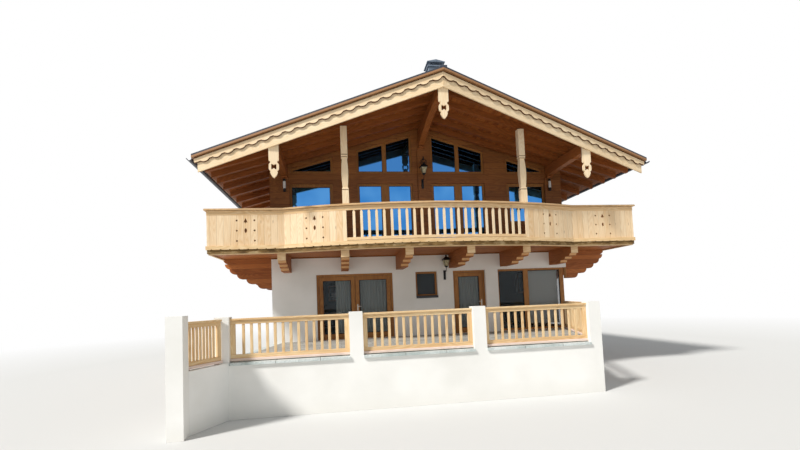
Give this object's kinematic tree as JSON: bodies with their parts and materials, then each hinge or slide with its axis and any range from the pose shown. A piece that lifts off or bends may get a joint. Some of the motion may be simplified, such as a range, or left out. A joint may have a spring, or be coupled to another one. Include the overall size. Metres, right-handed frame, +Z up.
{
  "type": "alpine chalet",
  "caption": "Two-storey alpine chalet with a white rendered ground floor, timber gable storey, bowed larch balcony, low-pitched roof with scalloped verge boards and a walled terrace.",
  "frame": {"origin": "centre of the bounding box at the lowest ground", "axes": "+Z up, +X right seen from the front, -Y the front with balcony and terrace, +Y towards the back"},
  "size_m": [14.2, 16.52, 11.46],
  "materials": {
    "white_render": "matte lime render",
    "stone_paving": "sawn",
    "stone_cap": "sawn",
    "rail_larch": "oiled",
    "carved_larch": "oiled",
    "facade_timber": "stained",
    "frame_timber": "stained",
    "soffit_timber": "stained",
    "window_glass": "clear",
    "roof_metal": "satin"
  },
  "bodies": {
    "house": {"foundation": "white_render", "terrace_walls": "white_render", "terrace_posts": "white_render", "terrace_floor": "stone_paving", "terrace_caps": "stone_cap", "terrace_rails": "rail_larch", "wing_wall": "white_render", "ground_floor": "stone_paving", "front_wall_left": "white_render", "front_wall_middle": "white_render", "front_wall_right": "white_render", "front_wall_head": "white_render", "side_walls": "white_render", "back_wall": "white_render", "upper_floor": "facade_timber", "front_gable": "facade_timber", "back_gable": "facade_timber", "upper_side_walls": "facade_timber", "door_frames": "frame_timber", "window_frames": "frame_timber", "window_glass": "window_glass", "balcony_deck": "soffit_timber", "balcony_consoles": "soffit_timber", "side_brackets": "soffit_timber", "balcony_boards": "carved_larch", "balcony_balusters": "carved_larch", "balcony_rails": "carved_larch", "balcony_trim": "carved_larch", "carved_posts": "carved_larch", "roof_purlins": "soffit_timber", "roof_rafters": "soffit_timber", "roof_boarding": "soffit_timber", "roof_covering": "roof_metal", "upper_fascia": "carved_larch", "lower_fascia": "carved_larch", "purlin_pendants": "carved_larch", "gutters": "roof_metal", "chimney": "roof_metal", "lanterns": "roof_metal"},
    "double_leaf_left": {"double_door_left": "frame_timber", "double_left_glass": "window_glass"},
    "double_leaf_right": {"double_door_right": "frame_timber", "double_right_glass": "window_glass"},
    "terrace_leaf": {"terrace_door": "frame_timber", "terrace_door_glass": "window_glass"}
  },
  "joints": [
    {"name": "double_left_hinge", "type": "hinge", "parent": "house", "child": "double_leaf_left", "pos_m": [-3.685, -2.386, 1.35], "axis": [0, 0, 1], "range_deg": [0, 90]},
    {"name": "double_right_hinge", "type": "hinge", "parent": "house", "child": "double_leaf_right", "pos_m": [-1.255, -2.386, 1.35], "axis": [0, 0, 1], "range_deg": [-90, 0]},
    {"name": "terrace_door_hinge", "type": "hinge", "parent": "house", "child": "terrace_leaf", "pos_m": [1.025, -2.386, 1.35], "axis": [0, 0, 1], "range_deg": [0, 90]}
  ]
}
